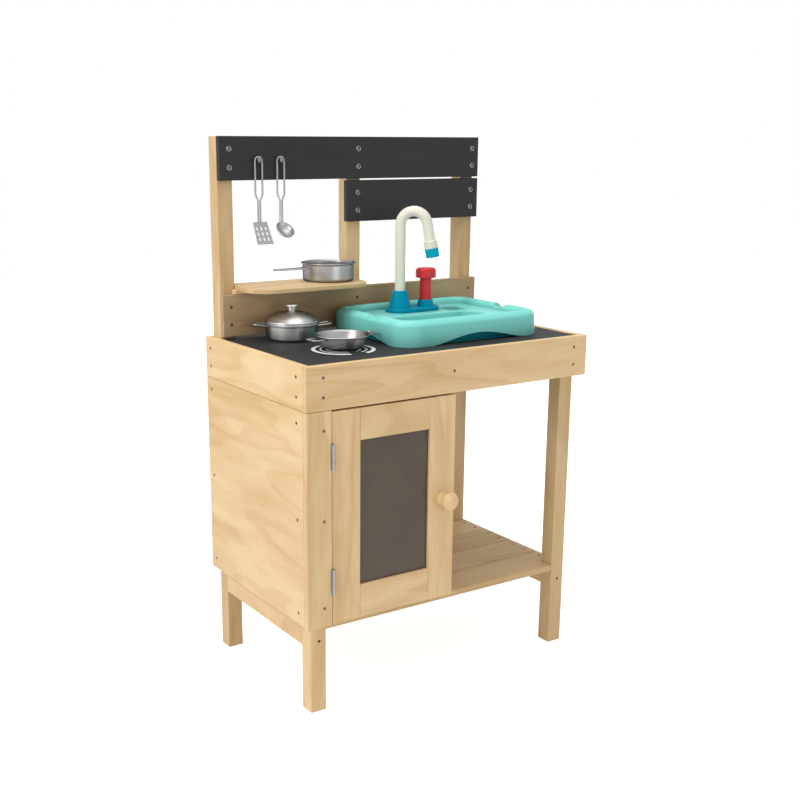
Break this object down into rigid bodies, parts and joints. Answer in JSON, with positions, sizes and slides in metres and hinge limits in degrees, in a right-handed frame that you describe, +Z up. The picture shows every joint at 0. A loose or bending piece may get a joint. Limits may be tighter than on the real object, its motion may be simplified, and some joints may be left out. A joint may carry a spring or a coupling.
{
  "type": "play kitchen",
  "caption": "Wooden play kitchen: counter with a glazed hinged cupboard and open bay, lift-out moulded sink with a swivel tap and push pump, upper shelf, hooks, toy pans and utensils.",
  "frame": {"origin": "bottom centre of the bounding box: on the floor, midway between the left and right aprons, and midway between the door knob's face and the back apron's rear face", "axes": "+Z up, +X to the right as the child faces it, +Y back towards the tall posts; the door and the knob face -Y"},
  "size_m": [0.62, 0.407, 0.9915],
  "materials": {
    "pine_wood": "clear-sealed pine, planed",
    "black_board": "black painted board, matt",
    "smoked_pane": "smoked acrylic, smooth",
    "steel": "brushed and polished stainless steel",
    "aqua_plastic": "moulded, fine satin",
    "teal_plastic": "moulded, fine satin",
    "blue_plastic": "moulded, soft gloss",
    "white_plastic": "moulded, soft gloss",
    "red_plastic": "moulded, soft gloss",
    "grey_plastic": "moulded, matt"
  },
  "bodies": {
    "frame": {"leg_front_left": "pine_wood", "leg_front_right": "pine_wood", "post_back_left": "pine_wood", "post_back_right": "pine_wood", "post_centre": "pine_wood", "apron_front": "pine_wood", "apron_left": "pine_wood", "apron_right": "pine_wood", "apron_back": "pine_wood", "batten_right": "pine_wood", "rail_left": "pine_wood", "rail_right": "pine_wood", "shelf_slat_1": "pine_wood", "shelf_slat_2": "pine_wood", "shelf_slat_3": "pine_wood", "shelf_slat_4": "pine_wood", "side_panel_left": "pine_wood", "stile_front_left": "pine_wood", "back_panel": "pine_wood", "partition_panel": "pine_wood", "backsplash_board": "pine_wood", "upper_shelf": "pine_wood", "shelf_cleat": "pine_wood", "worktop_panel": "black_board", "header_board": "black_board", "lower_board": "black_board", "hook_left": "steel", "hook_right": "steel", "hinge_upper_fixed_leaf": "steel", "hinge_lower_fixed_leaf": "steel", "magnet_catch": "grey_plastic"},
    "door": {"door_stile_hinge": "pine_wood", "door_stile_latch": "pine_wood", "door_rail_top": "pine_wood", "door_rail_bottom": "pine_wood", "door_pane": "smoked_pane", "door_knob": "pine_wood", "hinge_upper_door_leaf": "steel", "hinge_lower_door_leaf": "steel", "catch_strike": "steel"},
    "sink": {"sink_tray": "aqua_plastic", "sink_tub": "teal_plastic", "tap_base": "blue_plastic", "pump_cylinder": "white_plastic", "pump_spring": "steel"},
    "tap": {"tap_spout": "white_plastic", "tap_nozzle": "blue_plastic"},
    "pump": {"pump_plunger": "red_plastic"},
    "saucepan": {"saucepan_pan": "steel", "saucepan_handle": "steel"},
    "pot": {"pot_pan": "steel", "pot_handle_left": "steel", "pot_handle_right": "steel"},
    "lid": {"pot_lid": "steel", "pot_lid_knob": "steel"},
    "skillet": {"skillet_pan": "steel", "skillet_handle_left": "steel", "skillet_handle_right": "steel"},
    "spatula": {"spatula": "steel"},
    "spoon": {"spoon": "steel"}
  },
  "joints": [
    {"name": "door_hinge", "type": "hinge", "parent": "frame", "child": "door", "pos_m": [-0.25995, -0.1749, 0.356], "axis": [0, 0, -1], "range_deg": [0, 110]},
    {"name": "sink_lift", "type": "slide", "parent": "frame", "child": "sink", "axis": [0, 0, 1], "range_m": [0, 0.04]},
    {"name": "tap_swivel", "type": "hinge", "parent": "sink", "child": "tap", "pos_m": [0.052, 0.0825, 0.7], "axis": [0, 0, 1], "range_deg": [-90, 45]},
    {"name": "pump_press", "type": "slide", "parent": "sink", "child": "pump", "axis": [0, 0, -1], "range_m": [0, 0.025], "stiffness_N_per_m": 250, "springref_m": -0.004, "deforming": ["pump_spring"]},
    {"name": "saucepan_lift", "type": "slide", "parent": "frame", "child": "saucepan", "axis": [0, 0, 1], "range_m": [0, 0.035]},
    {"name": "pot_lift", "type": "slide", "parent": "frame", "child": "pot", "axis": [0, 0, 1], "range_m": [0, 0.012]},
    {"name": "lid_lift", "type": "slide", "parent": "pot", "child": "lid", "axis": [0, 0, 1], "range_m": [0, 0.01]},
    {"name": "skillet_lift", "type": "slide", "parent": "frame", "child": "skillet", "axis": [0, 0, 1], "range_m": [0, 0.12]},
    {"name": "spatula_swing", "type": "hinge", "parent": "frame", "child": "spatula", "pos_m": [-0.222, 0.1446, 0.9493], "axis": [0, 1, 0], "range_deg": [-2, 35]},
    {"name": "spoon_swing", "type": "hinge", "parent": "frame", "child": "spoon", "pos_m": [-0.176, 0.1446, 0.9493], "axis": [0, 1, 0], "range_deg": [-35, 2]}
  ]
}
